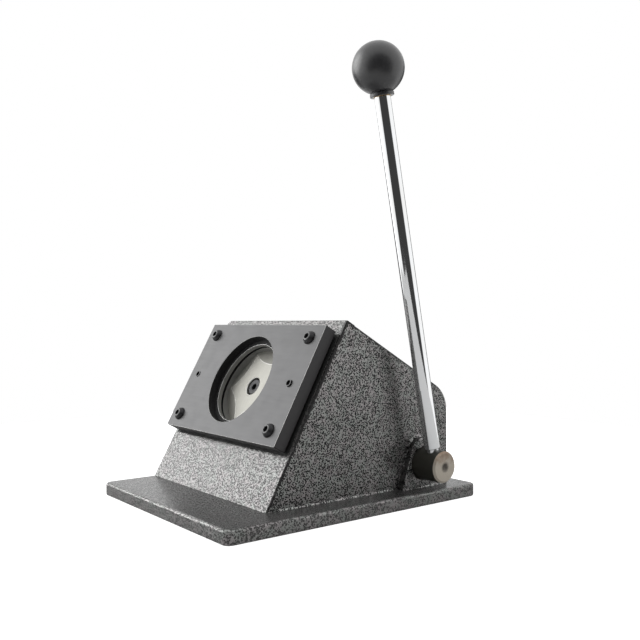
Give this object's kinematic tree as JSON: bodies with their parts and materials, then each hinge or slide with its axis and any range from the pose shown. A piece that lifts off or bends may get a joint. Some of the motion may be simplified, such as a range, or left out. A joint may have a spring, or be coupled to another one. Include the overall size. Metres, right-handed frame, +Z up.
{
  "type": "badge paper cutter",
  "caption": "Lever-operated stand cutter with a round punch behind a sloping die plate, for cutting paper discs used in button badges.",
  "frame": {"origin": "centre of the base plate's underside", "axes": "+X to the right seen from the front, +Y to the back, +Z up; the die plate faces -Y and upwards"},
  "size_m": [0.2017, 0.231, 0.339],
  "materials": {
    "hammertone_paint": "hammertone, semi-gloss",
    "hammertone_base": "hammertone, semi-gloss",
    "die_steel": "satin, blued",
    "black_oxide": "black oxide, satin",
    "ground_steel": "ground",
    "bright_steel": "machined",
    "zinc_steel": "zinc plated",
    "blacked_shaft": "black painted, bare end",
    "chrome_plate": "polished",
    "bronze_bush": "machined",
    "brass_insert": "machined",
    "black_phenolic": "satin",
    "spring_steel": "drawn"
  },
  "bodies": {
    "frame": {"base_plate": "hammertone_base", "bottom_cover": "zinc_steel", "bottom_cover_screws": "zinc_steel", "front_plate": "hammertone_paint", "left_side_plate": "hammertone_paint", "right_side_plate": "hammertone_paint", "roof_plate": "hammertone_paint", "bearing_plate": "hammertone_paint", "weld_beads": "hammertone_paint", "die_plate": "die_steel", "gap_washers": "zinc_steel", "die_screws": "black_oxide", "die_dowels": "bright_steel", "left_bush": "bronze_bush", "right_bush": "bronze_bush", "stop_pins": "bright_steel", "guide_posts": "bright_steel", "post_washers": "zinc_steel", "post_nuts": "zinc_steel", "left_return_spring": "spring_steel", "right_return_spring": "spring_steel"},
    "lever": {"main_shaft": "blacked_shaft", "cam": "bright_steel", "cam_key": "bright_steel", "locating_collar": "zinc_steel", "stop_collar": "zinc_steel", "collar_set_screws": "black_oxide", "lever_rod": "chrome_plate", "ball_knob": "black_phenolic", "knob_insert": "brass_insert"},
    "ram": {"ram": "bright_steel", "ram_bushes": "bronze_bush", "punch": "ground_steel", "punch_screw": "black_oxide", "punch_dowels": "bright_steel", "roller_pin": "bright_steel", "roller_clips": "black_oxide"},
    "roller": {"roller": "ground_steel"}
  },
  "joints": [
    {"name": "lever_turn", "type": "hinge", "parent": "frame", "child": "lever", "pos_m": [0.0892, 0.0718, 0.0282], "axis": [1, 0, 0], "range_deg": [0, 60], "stiffness_Nm_per_rad": 0.55, "springref_deg": -114.59},
    {"name": "punch_slide", "type": "slide", "parent": "frame", "child": "ram", "axis": [0, -0.8746, 0.4848], "range_m": [0, 0.012], "deforming": ["left_return_spring", "right_return_spring"]},
    {"name": "roller_spin", "type": "hinge", "parent": "ram", "child": "roller", "pos_m": [-0.0126, 0.04818, 0.04129], "axis": [1, 0, 0], "continuous": true}
  ],
  "couplings": [
    {"joint": "punch_slide", "follows": "lever_turn", "m_per_rad": 0.011459}
  ]
}
